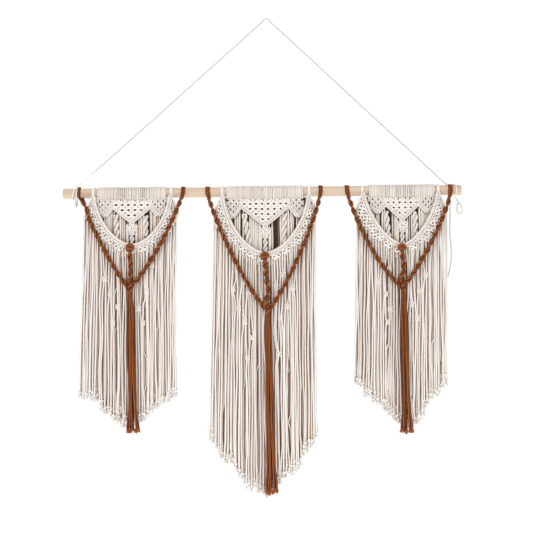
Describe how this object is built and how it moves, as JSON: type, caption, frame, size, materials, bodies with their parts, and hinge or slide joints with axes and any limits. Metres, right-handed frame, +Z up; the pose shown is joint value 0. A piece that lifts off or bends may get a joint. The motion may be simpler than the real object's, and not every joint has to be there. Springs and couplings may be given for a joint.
{
  "type": "macrame wall hanging on a wooden rod",
  "caption": "Knotted cream cotton macrame panels with long pointed fringes, rust-brown twisted drapes and tassels, on a wooden rod with a hanging cord.",
  "frame": {"origin": "top of the hanging cord, where it goes over a nail in the wall", "axes": "+X along the rod to the viewer's right, -Y out of the wall towards the viewer, +Z up"},
  "size_m": [1.0023, 0.0622, 1.1983],
  "materials": {
    "rod_wood": "plain sanded pale wood",
    "cream_cotton": "twisted cream cotton strands, matte",
    "rust_cotton": "twisted rust-brown cotton strands, matte",
    "cord_cotton": "thin cream cotton cord, matte"
  },
  "bodies": {
    "root": {"rod": "rod_wood", "net_left": "cream_cotton", "drape_left": "cream_cotton", "rope_left": "rust_cotton", "stem_left": "rust_cotton", "tassel_left": "rust_cotton", "net_middle": "cream_cotton", "drape_middle": "cream_cotton", "rope_middle": "rust_cotton", "stem_middle": "rust_cotton", "tassel_middle": "rust_cotton", "net_right": "cream_cotton", "drape_right": "cream_cotton", "rope_right": "rust_cotton", "stem_right": "rust_cotton", "tassel_right": "rust_cotton", "hanging_cord": "cord_cotton", "cord_tail": "cord_cotton"}
  },
  "joints": []
}
